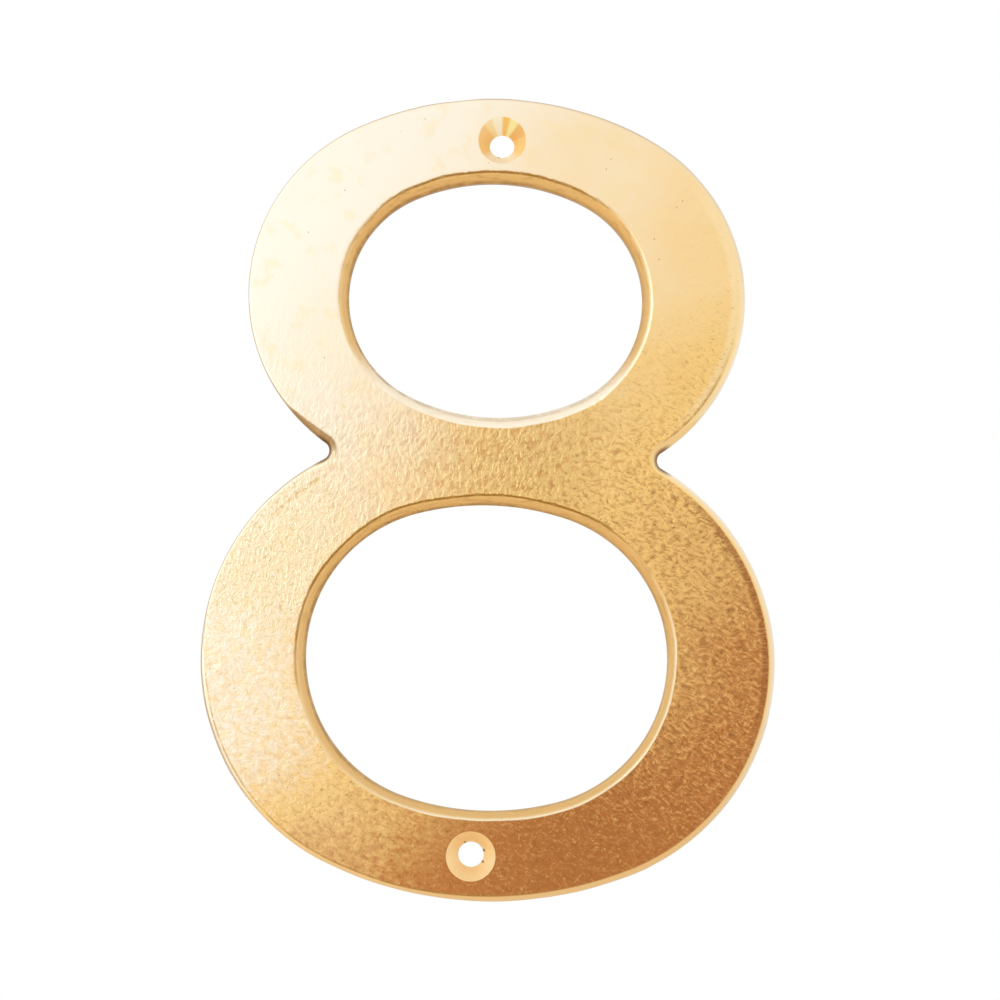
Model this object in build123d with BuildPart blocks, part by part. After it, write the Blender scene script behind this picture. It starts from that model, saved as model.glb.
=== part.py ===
"""House number: a figure eight cast in brass, screwed flat to a wall through two countersunk holes.

The figure stands upright as it does on the wall: +Z is up and the face looks along -Y.
The flat back lies on the plane y = 0, and the origin is at the middle of the waist bar.
"""

import os
from math import cos, radians, sin, tan

from build123d import *

# Figure
height = 150.0
waist_height = 81.05  # from the foot of the figure to the middle of the waist bar
upper_bowl_width = 93.5
lower_bowl_width = 106.3
lower_bowl_shift = 0.9  # the lower bowl stands this far to the right of the upper one
upper_bowl_reach = 6.4  # how far the upper bowl runs on below the middle of the waist bar
lower_bowl_reach = 7.0  # how far the lower bowl runs on above it
notch_radius = 1.8  # inside corner where the two bowls meet

# Strokes of the figure, from the outer edge to the opening at the back face
top_stroke = 15.9
upper_side_stroke = 19.0
waist_stroke = 16.5
lower_side_stroke = 19.5
foot_stroke = 16.2
opening_shift = -0.3  # each opening is filed this far off the middle of its bowl, to the left

# How far up and down from an oval's middle its side arcs run, in degrees
upper_bowl_side_arc = 62.5
upper_opening_side_arc = 65.0
lower_bowl_side_arc = 66.25
lower_opening_side_arc = 73.5

# Section of the casting
thickness = 3.0
outer_round = 1.5  # buffed round-over along the outer edge of the face
opening_bevel = 1.8  # bevel along each opening's edge of the face, at 45 degrees

# Screw holes, drilled and sunk by hand
screw_hole_diameter = 4.7
sink_diameter = 9.1
sink_angle = 90.0
upper_sink_inset = 8.1  # from the top of the figure down to the middle of the sink
upper_sink_shift = -0.2  # sideways from the middle of the upper bowl
upper_hole_drop = 0.55  # the drilled hole runs this far below the middle of its sink
lower_sink_inset = 8.2  # from the foot of the figure up to the middle of the sink
lower_sink_shift = -0.9  # sideways from the middle of the upper bowl

# Levels, counted from the middle of the waist bar
foot_level = -waist_height
top_level = height - waist_height
upper_sink_level = top_level - upper_sink_inset
lower_sink_level = foot_level + lower_sink_inset

# Sizes and middles of the ovals
upper_bowl_height = top_level + upper_bowl_reach
lower_bowl_height = lower_bowl_reach - foot_level
upper_opening_height = top_level - top_stroke - waist_stroke / 2
lower_opening_height = -foot_level - foot_stroke - waist_stroke / 2
upper_opening_width = upper_bowl_width - 2 * upper_side_stroke
lower_opening_width = lower_bowl_width - 2 * lower_side_stroke
upper_bowl_middle = (0, top_level - upper_bowl_height / 2)
lower_bowl_middle = (lower_bowl_shift, foot_level + lower_bowl_height / 2)
upper_opening_middle = (opening_shift, waist_stroke / 2 + upper_opening_height / 2)
lower_opening_middle = (lower_bowl_shift + opening_shift, -waist_stroke / 2 - lower_opening_height / 2)

# Depth of a sink's cone down to its point
sink_depth = sink_diameter / 2 / tan(radians(sink_angle / 2))


class Oval(BaseSketchObject):
    """An oval of four tangent arcs: two side arcs, and two flatter crown arcs between them."""

    def __init__(self, width, height, side_arc, mode=Mode.ADD):
        turn = radians(side_arc)
        # The line from a crown's centre through a side's centre meets the oval where their arcs join
        apart = (width - height) / 2 / (sin(turn) + cos(turn) - 1)
        side = apart * cos(turn)
        crown = -apart * sin(turn)
        side_radius = width / 2 - side
        crown_radius = height / 2 - crown
        with BuildSketch() as oval:
            with BuildLine():
                CenterArc((side, 0), side_radius, -side_arc, 2 * side_arc)
                CenterArc((0, crown), crown_radius, side_arc, 180 - 2 * side_arc)
                CenterArc((-side, 0), side_radius, 180 - side_arc, 2 * side_arc)
                CenterArc((0, -crown), crown_radius, 180 + side_arc, 180 - 2 * side_arc)
            make_face()
        super().__init__(oval.sketch, mode=mode)


with BuildPart() as house_number:
    # Two bowls that overlap at the waist, grown and shrunk back to round the notch on each side of it
    with BuildSketch(Plane.XZ):
        with Locations(upper_bowl_middle):
            Oval(upper_bowl_width, upper_bowl_height, upper_bowl_side_arc)
        with Locations(lower_bowl_middle):
            Oval(lower_bowl_width, lower_bowl_height, lower_bowl_side_arc)
        offset(amount=notch_radius, kind=Kind.INTERSECTION, mode=Mode.REPLACE)
        offset(amount=-notch_radius, mode=Mode.REPLACE)
    extrude(amount=thickness)
    face = house_number.faces().sort_by(Axis.Y)[0]
    fillet(face.outer_wire().edges(), outer_round)

    # The two openings and the bevel round each
    with BuildSketch(Plane.XZ):
        with Locations(upper_opening_middle):
            Oval(upper_opening_width, upper_opening_height, upper_opening_side_arc)
        with Locations(lower_opening_middle):
            Oval(lower_opening_width, lower_opening_height, lower_opening_side_arc)
    extrude(amount=thickness, mode=Mode.SUBTRACT)
    face = house_number.faces().sort_by(Axis.Y)[0]
    chamfer([edge for wire in face.inner_wires() for edge in wire.edges()], opening_bevel)

    # Screw holes: each is a cone sunk from the face and a drilled hole
    upper_sink = (upper_sink_shift, upper_sink_level)
    upper_hole = (upper_sink_shift, upper_sink_level - upper_hole_drop)
    lower_sink = (lower_sink_shift, lower_sink_level)
    point_down = (Align.CENTER, Align.CENTER, Align.MAX)
    with Locations(Plane.XZ.offset(thickness)):
        with Locations(upper_sink, lower_sink):
            Cone(0, sink_diameter / 2, sink_depth, align=point_down, mode=Mode.SUBTRACT)
        with Locations(upper_hole, lower_sink):
            Hole(screw_hole_diameter / 2, thickness)

house_number.part.label = "house_number"
os.makedirs("parts", exist_ok=True)
export_step(house_number.part, "parts/house_number.step")
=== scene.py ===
"""House number: a cast brass figure eight with two countersunk screw holes, on a plain pale stage."""

import math
from types import SimpleNamespace

import bpy
import numpy as np
from bpy.props import FloatProperty, FloatVectorProperty, PointerProperty
from bpy.types import Operator, Panel, PropertyGroup
from mathutils import Matrix, Vector


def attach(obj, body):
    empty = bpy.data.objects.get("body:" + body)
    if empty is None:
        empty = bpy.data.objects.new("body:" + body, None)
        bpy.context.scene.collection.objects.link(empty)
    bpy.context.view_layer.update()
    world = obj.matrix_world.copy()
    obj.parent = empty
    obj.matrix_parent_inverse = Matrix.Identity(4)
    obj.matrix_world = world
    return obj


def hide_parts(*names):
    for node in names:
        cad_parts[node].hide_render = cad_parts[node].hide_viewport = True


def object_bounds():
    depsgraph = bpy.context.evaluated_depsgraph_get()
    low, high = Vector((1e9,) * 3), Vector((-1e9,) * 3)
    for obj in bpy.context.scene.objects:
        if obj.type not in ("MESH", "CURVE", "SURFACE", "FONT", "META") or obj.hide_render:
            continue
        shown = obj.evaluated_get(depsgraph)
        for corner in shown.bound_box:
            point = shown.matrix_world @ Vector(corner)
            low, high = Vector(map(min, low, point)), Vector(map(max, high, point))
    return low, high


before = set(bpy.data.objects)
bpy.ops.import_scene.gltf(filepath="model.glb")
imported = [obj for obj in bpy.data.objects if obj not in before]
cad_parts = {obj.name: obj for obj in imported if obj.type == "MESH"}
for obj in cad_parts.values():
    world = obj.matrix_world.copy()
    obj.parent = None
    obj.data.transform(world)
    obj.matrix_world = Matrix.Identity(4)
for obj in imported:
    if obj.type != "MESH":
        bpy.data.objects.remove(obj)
CAD_LOW, CAD_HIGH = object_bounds()

bl_info = {
    "name": "House number",
    "version": (1, 0, 0),
    "blender": (4, 5, 0),
    "location": "View3D > Sidebar > House number",
    "description": "Casts a brass house number, sinks its holes, finishes the brass and sets the stage",
    "category": "Add Mesh",
}

MM = 0.001
PIECE = "cast_figure"

# Distances in millimetres that the mesh carries for its material: inside the outer edge, outside a bevel
OUTER_INSET = "outer_inset"
BEVEL_INSET = "bevel_inset"

# Columns of the grid round each notch and bowl, along the seam and round a sink
NOTCH_COLUMNS = 14
UPPER_COLUMNS = 430
LOWER_COLUMNS = 490
SEAM_COLUMNS = 210
SINK_COLUMNS = 144

# Rows of the grid across the face, a bevel, the outer round, the back's small round, the back and a sink
FACE_ROWS = 40
BEVEL_ROWS = 8
ROUND_ROWS = 7
EASE_ROWS = 3
BACK_ROWS = 4
SINK_ROWS = 12

# Close-set points, from which a crossing of a ray, a notch's middle and a length along a bowl are read
RAY_POINTS = 16001
NOTCH_POINTS = 40001
RUN_POINTS = 8001

# Cosines in one uneven field
WAVES = 48

# Depth of a bevel as a share of its width, and the fold past which an edge of the mesh is sharp
BEVEL_DEPTH = 1.1
SHARP_FOLD = math.radians(28)

# Where the outer edge was buffed soft, in millimetres: along x less this share of z, and at the lower left
BUFF_SLOPE = 0.25
BUFFED = (-30, 45)
LOW_LEFT_X = (10, -20)
LOW_LEFT_Z = (-20, -45)


def length(name, description, millimetres):
    """A size in metres, given in millimetres."""
    size = millimetres * MM
    return FloatProperty(name=name, description=description, default=size, unit="LENGTH", precision=5)


def turn(name, description, degrees):
    """An angle, given in degrees."""
    return FloatProperty(name=name, description=description, default=math.radians(degrees), subtype="ANGLE")


def share(name, description, value):
    """A plain number from 0 to 1."""
    return FloatProperty(
        name=name, description=description, default=value, min=0.0, max=1.0, subtype="FACTOR"
    )


def colour(name, description, value):
    """A colour, as red, green and blue from 0 to 1."""
    return FloatVectorProperty(
        name=name, description=description, default=value, size=3, min=0.0, max=1.0, subtype="COLOR"
    )


class FigureSizes(PropertyGroup):
    """Sizes of the casting, counted from the middle of the waist bar on the flat back."""

    top: length("Top", "Height of the top above the waist", CAD_HIGH.z / MM)
    foot: length("Foot", "Height of the foot, below the waist", CAD_LOW.z / MM)
    thickness: length("Thickness", "From the flat back to the face", (CAD_HIGH.y - CAD_LOW.y) / MM)
    lower_width: length("Lower bowl width", "Across the lower bowl", (CAD_HIGH.x - CAD_LOW.x) / MM)
    lower_shift: length(
        "Lower bowl shift", "Lower bowl to the right of the upper one", (CAD_HIGH.x + CAD_LOW.x) / 2 / MM
    )
    upper_width: length("Upper bowl width", "Across the upper bowl", 93.5)
    upper_reach: length("Upper bowl reach", "Upper bowl runs on below the middle of the waist", 6.4)
    lower_reach: length("Lower bowl reach", "Lower bowl runs on above the middle of the waist", 7.0)
    notch: length("Notch radius", "Inside corner where the bowls meet", 1.8)
    opening_shift: length("Opening shift", "Openings to the right of the middles of their bowls", -0.3)
    top_stroke: length("Top stroke", "Outer edge to opening at the top", 15.9)
    upper_stroke: length("Upper side stroke", "Outer edge to opening at the upper bowl's sides", 19.0)
    waist_stroke: length("Waist stroke", "Bar between the openings", 16.5)
    lower_stroke: length("Lower side stroke", "Outer edge to opening at the lower bowl's sides", 19.5)
    foot_stroke: length("Foot stroke", "Outer edge to opening at the foot", 16.2)
    upper_arc: turn("Upper bowl side arc", "How far up and down the side arcs run", 62.5)
    upper_opening_arc: turn("Upper opening side arc", "How far up and down the side arcs run", 65.0)
    lower_arc: turn("Lower bowl side arc", "How far up and down the side arcs run", 66.25)
    lower_opening_arc: turn("Lower opening side arc", "How far up and down the side arcs run", 73.5)
    crisp_edge: length("Crisp edge", "Round of the outer edge where it was left crisp", 0.3)
    buffed_edge: length("Buffed edge", "Round of the outer edge where it was buffed soft", 1.5)
    bevel: length("Bevel", "Width of the bevel round each opening", 1.8)
    bevel_bulge: share("Bevel bulge", "From a flat bevel, 0, to a quarter round, 1", 0.35)
    back_ease: length("Back ease", "Small round along the edges of the back", 0.15)
    swell: length("Swell", "Depth of the broad hollows of the cast face", 0.05)
    wrinkle: length("Wrinkle", "Depth of the wrinkles at the waist", 0.05)


class HoleSizes(PropertyGroup):
    """Sizes of the countersunk screw holes."""

    hole: length("Hole diameter", "Drilled through the figure", 4.7)
    sink: length("Sink diameter", "Of the countersink at the face", 9.1)
    upper_inset: length("Upper inset", "From the top down to the middle of the upper sink", 8.1)
    upper_shift: length("Upper shift", "Upper sink to the right of the upper bowl's middle", -0.2)
    upper_drop: length("Upper drop", "Upper hole below the middle of its sink", 0.55)
    lower_inset: length("Lower inset", "From the foot up to the middle of the lower sink", 8.2)
    lower_shift: length("Lower shift", "Lower sink to the right of the upper bowl's middle", -0.9)
    chatter: length("Chatter", "Depth of the flats the drill left in the upper sink", 0.06)


class BrassFinish(PropertyGroup):
    """Colours and finish of the brass."""

    # Pale, gold and toned brass: the brass's tone, with a painted highlight on the pale top and painted shade
    # on the brown foot
    pale: colour("Pale brass", "Buffed brass of the top", (0.95, 0.90, 0.79))
    gold: colour("Gold brass", "Brass of the waist", (0.94, 0.64, 0.235))
    toned: colour("Toned brass", "Brass of the foot, toned brown", (0.55, 0.22, 0.066))
    # Crease: the colour of the pits, burr and scratches, and of the painted shade in the notches
    crease: colour("Crease", "Dirt in the notches, pits and scratches", (0.20, 0.095, 0.03))
    # Bright brass: the painted highlight on the rubbed ridge of the right edges
    bright: colour("Bright brass", "Rubbed ridge of the right edges", (0.98, 0.77, 0.40))
    gloss: share("Roughness", "Roughness of the buffed face", 0.3)
    grain: length("Grain", "Depth of the leathery cast grain", 0.07)


class StageSizes(PropertyGroup):
    """Camera, floor and backdrop."""

    distance: length("Camera distance", "From the camera to the middle of the view", 278.9)
    rise: turn("Camera rise", "How far the camera looks up", 4.0)
    roll: turn("Camera roll", "How far the camera leans to the left", 2.18)
    lens: FloatProperty(name="Lens", description="Focal length", default=54.0, subtype="DISTANCE_CAMERA")
    aim: FloatVectorProperty(
        name="Aim", description="Middle of the view", default=(1.97 * MM, -3.0 * MM, -7.32 * MM),
        subtype="XYZ", unit="LENGTH",
    )
    floor_drop: length("Floor drop", "Floor below the waist", 600.0)
    floor_reach: length("Floor reach", "Floor in front of the figure", 1600.0)
    half_width: length("Half width", "Floor and backdrop to each side of the figure", 2400.0)
    backdrop_gap: length("Backdrop gap", "Backdrop behind the figure", 1300.0)
    backdrop_top: length("Backdrop top", "Backdrop above the waist", 2000.0)


def heading(angle):
    """Unit vectors at angles: cosine along x, sine along z."""
    return np.stack((np.cos(angle), np.sin(angle)), axis=-1)


def smooth(low, high, values):
    """0 below low, 1 above high, and a smooth cubic step between."""
    t = np.clip((values - low) / (high - low), 0.0, 1.0)
    return t * t * (3 - 2 * t)


def between(first, last, part):
    """Points part of the way from first to last."""
    return first * (1 - part) + last * part


def hump(x, z, middle, spread):
    """A Gaussian hump: e to the power of minus the squared distance from its middle, counted in spreads."""
    return np.exp(-(((x - middle[0]) / spread[0]) ** 2) - ((z - middle[1]) / spread[1]) ** 2)


def ripple(points, shortest, longest, seed, spread=math.pi):
    """An uneven field of unit strength: a sum of cosines whose lengths lie between shortest and longest.

    Each wave runs its own way, within spread of the x axis, so the field never repeats.
    """
    draw = np.random.default_rng(seed)
    size = np.exp(draw.uniform(math.log(shortest), math.log(longest), WAVES))
    way = heading(draw.uniform(-spread, spread, WAVES)) * (2 * math.pi / size)[:, None]
    phase = draw.uniform(0, 2 * math.pi, WAVES)
    return np.cos(points @ way.T + phase).sum(axis=-1) * math.sqrt(2 / WAVES)


class Oval:
    """An oval of four tangent arcs: two side arcs, and two flatter crown arcs between them.

    With side arcs that turn by t each way, half width a and half height b, the arc centres stand
    (a - b) / (sin t + cos t - 1) apart on a line that slopes by t.
    """

    def __init__(self, middle, width, height, arc):
        apart = (width - height) / 2 / (math.sin(arc) + math.cos(arc) - 1)
        self.middle = np.array(middle)
        self.half = np.array((width / 2, height / 2))
        self.arc = arc
        self.side = np.array((apart * math.cos(arc), 0.0))
        self.crown = np.array((0.0, -apart * math.sin(arc)))
        self.side_radius = width / 2 - self.side[0]
        self.crown_radius = height / 2 - self.crown[1]

    def at(self, facing, grow=0.0):
        """The point whose edge faces that way: its arc's centre plus the arc's radius, grown outwards."""
        way = heading(facing)
        on_side = np.abs(way[..., 0]) >= math.cos(self.arc)
        centre = np.where(on_side[..., None], self.side, self.crown) * np.sign(way)
        radius = np.where(on_side, self.side_radius, self.crown_radius) + grow
        return self.middle + centre + radius[..., None] * way

    def outside(self, points):
        """How far points lie outside the edge: distance from the nearest arc's centre less its radius."""
        away = np.abs(points - self.middle)
        from_side = away - self.side
        from_crown = away - self.crown
        on_side = np.arctan2(from_side[..., 1], from_side[..., 0]) <= self.arc
        to_side = np.hypot(from_side[..., 0], from_side[..., 1]) - self.side_radius
        to_crown = np.hypot(from_crown[..., 0], from_crown[..., 1]) - self.crown_radius
        return np.where(on_side, to_side, to_crown)

    def facing_along(self, rays, grow):
        """Which way the grown edge faces where rays from its middle cross it, read from close-set points."""
        facing = np.linspace(-math.pi, 3 * math.pi, RAY_POINTS)
        edge = self.at(facing, grow) - self.middle
        bearing = np.unwrap(np.arctan2(edge[:, 1], edge[:, 0]))
        return np.interp(np.unwrap(rays), bearing, facing)


class Opening(Oval):
    """An opening with a hand-filed bevel round it."""

    def __init__(self, middle, width, height, arc, bevel, fuller, towards, seed):
        super().__init__(middle, width, height, arc)
        self.bevel, self.fuller, self.towards, self.seed = bevel, fuller, towards, seed

    def bevel_at(self, facing):
        """Width of the bevel: its mean, wandering a little, and fuller to one side by a squared cosine."""
        ring_radius = 20 * MM
        ring = heading(facing) * ring_radius
        wander = 0.035 * ripple(ring, 5 * MM, 20 * MM, self.seed)
        chatter = 0.006 * ripple(ring, 0.8 * MM, 2 * MM, self.seed + 1)
        fuller = self.fuller * np.maximum(0, np.cos(facing - self.towards)) ** 2
        return self.bevel * (1 + wander + chatter + fuller)

    def past_bevel(self, points):
        """How far points lie outside the bevel, with the bevel's width taken along each point's bearing."""
        away = points - self.middle
        return self.outside(points) - self.bevel_at(np.arctan2(away[..., 1], away[..., 0]))


class Figure:
    """The bowls, openings and notches of the figure, worked out from its sizes."""

    def __init__(self, sizes):
        upper_height = sizes.top + sizes.upper_reach
        lower_height = sizes.lower_reach - sizes.foot
        half_waist = sizes.waist_stroke / 2
        upper_space = sizes.top - sizes.top_stroke - half_waist
        lower_space = -sizes.foot - sizes.foot_stroke - half_waist
        shift, off = sizes.lower_shift, sizes.opening_shift
        self.upper = Oval(
            (0, sizes.top - upper_height / 2), sizes.upper_width, upper_height, sizes.upper_arc
        )
        self.lower = Oval(
            (shift, sizes.foot + lower_height / 2), sizes.lower_width, lower_height, sizes.lower_arc
        )
        self.upper_opening = Opening(
            (off, half_waist + upper_space / 2), sizes.upper_width - 2 * sizes.upper_stroke, upper_space,
            sizes.upper_opening_arc, sizes.bevel, fuller=0.27, towards=-1.3, seed=21,
        )
        self.lower_opening = Opening(
            (shift + off, -half_waist - lower_space / 2), sizes.lower_width - 2 * sizes.lower_stroke,
            lower_space, sizes.lower_opening_arc, sizes.bevel, fuller=-0.12, towards=-0.7, seed=31,
        )
        self.notch = sizes.notch
        # Each notch: the middle of its round, and which way each bowl's edge faces where the round begins
        self.right, self.upper_right = self.meet(self.upper, self.lower, -math.pi / 2, 0.0)
        self.left, self.upper_left = self.meet(self.upper, self.lower, 1.5 * math.pi, math.pi)
        _, self.lower_left = self.meet(self.lower, self.upper, math.pi / 2, math.pi)
        _, self.lower_right = self.meet(self.lower, self.upper, 2.5 * math.pi, 2 * math.pi)
        across = self.right - self.left
        self.along = across / np.hypot(*across)
        self.lean = math.atan2(self.along[1], self.along[0])

    def meet(self, bowl, other, start, end):
        """Middle of a notch: one notch radius outside both bowls, where the grown bowl leaves the other."""
        facing = np.linspace(start, end, NOTCH_POINTS)
        path = bowl.at(facing, self.notch)
        spare = other.outside(path) - self.notch
        after = int(np.argmax(spare > 0))
        before = after - 1
        part = spare[before] / (spare[before] - spare[after])
        middle = path[before] + part * (path[after] - path[before])
        return middle, facing[before] + part * (facing[after] - facing[before])

    def outline(self, bowl, notches, angles, columns):
        """Edge of one bowl from notch tip to notch tip: points and the way the edge faces there.

        It runs round half of one notch, facing inwards to its middle, evenly along the bowl, and round half
        of the other notch.
        """
        tip, begin, stop, last_tip = angles
        first = np.linspace(tip, begin, NOTCH_COLUMNS, endpoint=False)
        last = np.linspace(stop, last_tip, NOTCH_COLUMNS + 1)[1:]
        dense = np.linspace(begin, stop, RUN_POINTS)
        steps = np.diff(bowl.at(dense), axis=0)
        run = np.concatenate(([0.0], np.cumsum(np.hypot(steps[:, 0], steps[:, 1]))))
        middle = np.interp(np.linspace(0, run[-1], columns), run, dense)
        first_notch = notches[0] - self.notch * heading(first)
        last_notch = notches[1] - self.notch * heading(last)
        points = np.concatenate((first_notch, bowl.at(middle), last_notch))
        return points, np.concatenate((first, middle, last))

    def from_outline(self, points):
        """Depth inside the outer edge: inside the deeper bowl, or from a notch's round in the fan before it.

        The fan reaches four notch radii from the notch's middle.
        """
        depth = -np.minimum(self.upper.outside(points), self.lower.outside(points))
        for middle, first, last in (
            (self.right, self.upper_right, self.lower_right), (self.left, self.upper_left, self.lower_left)
        ):
            ends = -heading(np.array((first, last)))
            fan = ends.sum(axis=0) / np.hypot(*ends.sum(axis=0))
            away = points - middle
            far = np.hypot(away[..., 0], away[..., 1])
            in_fan = (away @ fan >= far * (ends[0] @ fan)) & (far < 4 * self.notch)
            depth = np.where(in_fan, far - self.notch, depth)
        return depth

    def from_bevels(self, points):
        """Distance from the nearer opening's bevel."""
        return np.minimum(self.upper_opening.past_bevel(points), self.lower_opening.past_bevel(points))


def edge_round(points, sizes):
    """Radius of the outer edge's round: crisp at the top and the upper left, softer where it was buffed.

    It softens along the buffing slope, in a hump about each notch and a little at the lower left.
    """
    x, z = points[:, 0] / MM, points[:, 1] / MM
    soft = smooth(*BUFFED, x - BUFF_SLOPE * z)
    notch = hump(np.abs(x), z, middle=(31, 4), spread=(9, 12))
    low_left = smooth(*LOW_LEFT_Z, z) * smooth(*LOW_LEFT_X, x)
    worn = np.maximum(np.maximum(soft, 0.75 * notch), 0.4 * low_left)
    wander = 0.12 * ripple(points, 9 * MM, 30 * MM, 5)
    return sizes.crisp_edge + (sizes.buffed_edge - sizes.crisp_edge) * np.clip(worn + wander, 0, 1)


def face_relief(points, sizes):
    """Depth of the face below its plane: broad hollows, and wrinkles at the waist and the lower left.

    A wrinkle is the size of a short upright ripple, cut off at a limit, so its valleys are sharp.
    """
    x, z = points[..., 0] / MM, points[..., 1] / MM
    hollow = np.clip(0.5 + 0.2 * ripple(points, 10 * MM, 34 * MM, 11), 0, 1)
    waist = np.exp(-((z - 1) / 12) ** 2) * smooth(48, 25, np.abs(x))
    flank = hump(x, z, middle=(-42, -32), spread=(12, 22))
    crease = np.abs(ripple(points, 1.3 * MM, 3.2 * MM, 12, spread=0.9))
    limit = 1.6
    wrinkled = np.clip(waist + 0.3 * flank, 0, 1) * np.minimum(crease, limit) / limit
    return sizes.swell * hollow + sizes.wrinkle * wrinkled


def opening_section(sizes, opening, bearing):
    """Section of an opening's edge from the back up to the face, as grow and depth for each column.

    A small round off the back, an upright wall, then a bevel blended with a quarter round.
    """
    ease = np.linspace(0, math.pi / 2, EASE_ROWS)
    back_grow = sizes.back_ease * (1 - np.sin(ease))
    back_depth = -sizes.back_ease * (1 - np.cos(ease))
    t = np.linspace(1, 0, BEVEL_ROWS)
    bulge = sizes.bevel_bulge
    grow = (1 - bulge) * (1 - t) + bulge * (1 - np.sin(math.pi / 2 * t))
    drop = (1 - bulge) * t + bulge * (1 - np.cos(math.pi / 2 * t))
    width = opening.bevel_at(bearing)[:, None]
    columns = np.ones_like(width)
    bevel_depth = -sizes.thickness + sizes.bevel * BEVEL_DEPTH * drop * columns
    return np.hstack((columns * back_grow, width * grow)), np.hstack((columns * back_depth, bevel_depth))


def outer_section(sizes, radius):
    """Section of the outer edge from the face to the back, as inset and depth for each column.

    A quarter round, an upright wall, then a small round onto the back.
    """
    t = np.linspace(0, math.pi / 2, ROUND_ROWS)
    ease = np.linspace(0, math.pi / 2, EASE_ROWS)
    radius = radius[:, None]
    columns = np.ones_like(radius)
    inset = np.hstack((radius * (1 - np.sin(t)), columns * sizes.back_ease * (1 - np.cos(ease))))
    round_depth = -sizes.thickness + radius * (1 - np.cos(t))
    return inset, np.hstack((round_depth, -columns * sizes.back_ease * (1 - np.sin(ease))))


def ring_grid(sizes, opening, outline, seam_face, seam_back):
    """One bowl as a closed grid: columns go round the opening, rows go round the section.

    The rows climb the opening's edge, cross the face in straight lines to the outer edge, go down it and
    return along the back. On the seam columns the face and the back stop at the seam, and the outer rows
    between are left out. A sine gathers the rows of the face at its two edges, and its relief fades out
    down the edges, by a share of the thickness.
    """
    gather = 0.06
    relief_from, relief_full = 0.45, 0.95
    points, facing = outline
    way = heading(facing)
    inset, outer_depth = outer_section(sizes, edge_round(points, sizes))
    outer = points[:, None, :] - inset[:, :, None] * way[:, None, :]
    outer_rows = inset.shape[1]
    share_down = np.linspace(0, 1, outer_rows)[None, :, None]
    seam = between(seam_face[:, None, :], seam_back[:, None, :], share_down)
    outer = np.concatenate((outer, seam))
    outer_depth = np.concatenate((outer_depth, np.tile(outer_depth[:1], (len(seam_face), 1))))
    reach = outer[:, 0] - opening.middle
    bearing = np.arctan2(reach[:, 1], reach[:, 0])
    inner_facing = opening.facing_along(bearing, sizes.bevel)
    grow, inner_depth = opening_section(sizes, opening, bearing)
    inner = opening.at(inner_facing)[:, None, :] + grow[:, :, None] * heading(inner_facing)[:, None, :]
    across = np.linspace(0, 1, FACE_ROWS + 1)[1:-1]
    across = (across - gather * np.sin(2 * math.pi * across))[None, :, None]
    face = between(inner[:, -1:], outer[:, :1], across)
    back_across = np.linspace(0, 1, BACK_ROWS + 1)[1:-1][None, :, None]
    back = between(outer[:, -1:], inner[:, :1], back_across)
    flat = np.concatenate((inner, face, outer, back), axis=1)
    level = np.full(face.shape[:2], -sizes.thickness)
    depth = np.concatenate((inner_depth, level, outer_depth, np.zeros(back.shape[:2])), axis=1)
    front = smooth(relief_from, relief_full, -depth / sizes.thickness)
    depth = depth + front * face_relief(flat, sizes)
    face_end = inner.shape[1] + face.shape[1]
    return np.stack((flat[..., 0], depth, flat[..., 1]), axis=-1), face_end, face_end + outer_rows - 1


def grid_quads(index, face_end, back_start, seam_start):
    """Four-sided faces of a ring's grid, round both ways, without the outer rows of the seam columns."""
    right = np.roll(index, -1, axis=0)
    quads = np.stack((index, right, np.roll(right, -1, axis=1), np.roll(index, -1, axis=1)), axis=-1)
    kept = np.ones(index.shape, bool)
    kept[seam_start:, face_end:back_start] = False
    return quads[kept]


def casting(sizes):
    """Points and faces of the whole casting: two rings that share the points of a seam across the waist.

    The seam joins the tips of the two notches, on the face and on the back.
    """
    figure = Figure(sizes)
    right_tip, left_tip, round_again = figure.lean + math.pi * np.arange(3)
    upper = figure.outline(
        figure.upper, (figure.right, figure.left),
        (right_tip, figure.upper_right, figure.upper_left, left_tip), UPPER_COLUMNS,
    )
    lower = figure.outline(
        figure.lower, (figure.left, figure.right),
        (left_tip, figure.lower_left, figure.lower_right, round_again), LOWER_COLUMNS,
    )
    # Seam points from the left tip to the right one, on the face and on the back
    tips = np.stack((upper[0][-1], upper[0][0]))
    inward = np.stack((figure.along, -figure.along))
    on_face = tips + inward * edge_round(tips, sizes)[:, None]
    on_back = tips + inward * sizes.back_ease
    part = np.linspace(0, 1, SEAM_COLUMNS + 2)[1:-1, None]
    seam_face = between(*on_face, part)
    seam_back = between(*on_back, part)
    upper_grid, face_end, back_start = ring_grid(sizes, figure.upper_opening, upper, seam_face, seam_back)
    lower_grid, _, _ = ring_grid(sizes, figure.lower_opening, lower, seam_face[::-1], seam_back[::-1])
    points = np.concatenate((upper_grid.reshape(-1, 3), lower_grid.reshape(-1, 3)))
    upper_shape, lower_shape = upper_grid.shape[:2], lower_grid.shape[:2]
    upper_index = np.arange(math.prod(upper_shape)).reshape(upper_shape)
    lower_index = np.arange(upper_index.size, len(points)).reshape(lower_shape)
    # The lower ring takes the upper ring's points along the seam and down both notch tips
    upper_seam = len(upper[0])
    lower_seam = len(lower[0])
    for row in (face_end, back_start):
        lower_index[lower_seam:, row] = upper_index[upper_seam:, row][::-1]
    down = slice(face_end, back_start + 1)
    lower_index[0, down] = upper_index[upper_seam - 1, down]
    lower_index[lower_seam - 1, down] = upper_index[0, down]
    quads = np.concatenate((
        grid_quads(upper_index, face_end, back_start, upper_seam - 1),
        grid_quads(lower_index, face_end, back_start, lower_seam - 1),
    ))
    used, faces = np.unique(quads, return_inverse=True)
    return points[used], faces.reshape(quads.shape).tolist()


def sink_middles(sizes, holes):
    """Middles of the upper and the lower sink, as x and z."""
    return (
        (holes.upper_shift, sizes.top - holes.upper_inset),
        (holes.lower_shift, sizes.foot + holes.lower_inset),
    )


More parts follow.
